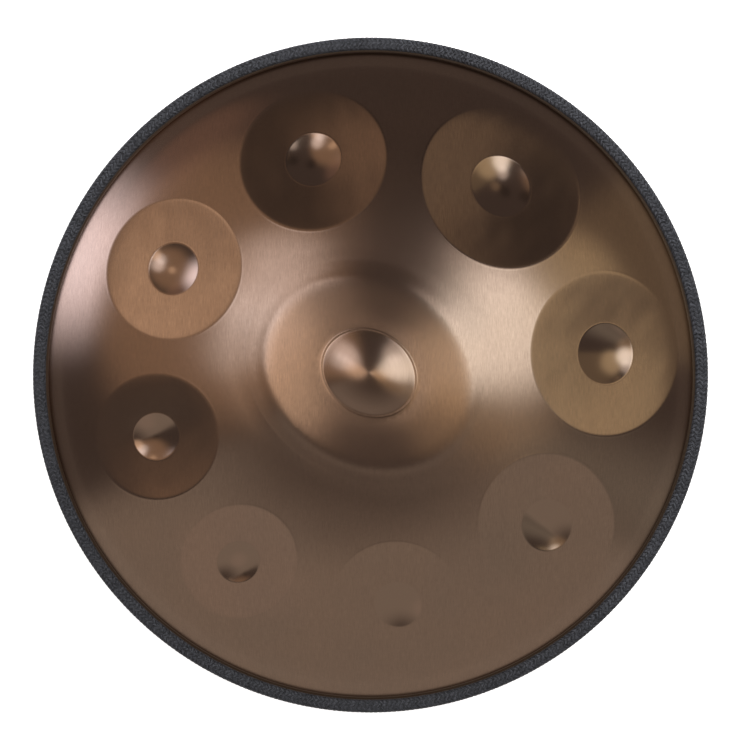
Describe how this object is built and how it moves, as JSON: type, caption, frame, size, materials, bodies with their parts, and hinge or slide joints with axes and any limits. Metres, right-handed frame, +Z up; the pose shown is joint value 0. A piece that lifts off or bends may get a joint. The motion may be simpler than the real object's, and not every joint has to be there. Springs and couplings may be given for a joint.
{
  "type": "handpan",
  "caption": "Lens-shaped steel hand drum: two domed shells bonded at the rim, pressed tone fields round a raised centre, a port below and a braided edge trim.",
  "frame": {"origin": "on the axis of the pan, level with the ring under it that it rests on", "axes": "+Z up through the middle of the centre dome; +Y towards the top of the playing face as it is usually pictured, +X to its right"},
  "size_m": [0.56, 0.56, 0.2196],
  "materials": {
    "bronzed_steel": "bronze-coloured steel, brushed in straight lines, the centre dome turned in circles",
    "epoxy": "cured adhesive, half gloss",
    "rubber": "plain matt extrusion",
    "braided_cord": "flat braid of charcoal strands"
  },
  "bodies": {
    "root": {"top_shell": "bronzed_steel", "bottom_shell": "bronzed_steel", "flange_glue": "epoxy", "rim_channel": "rubber", "rim_braid": "braided_cord"}
  },
  "joints": []
}
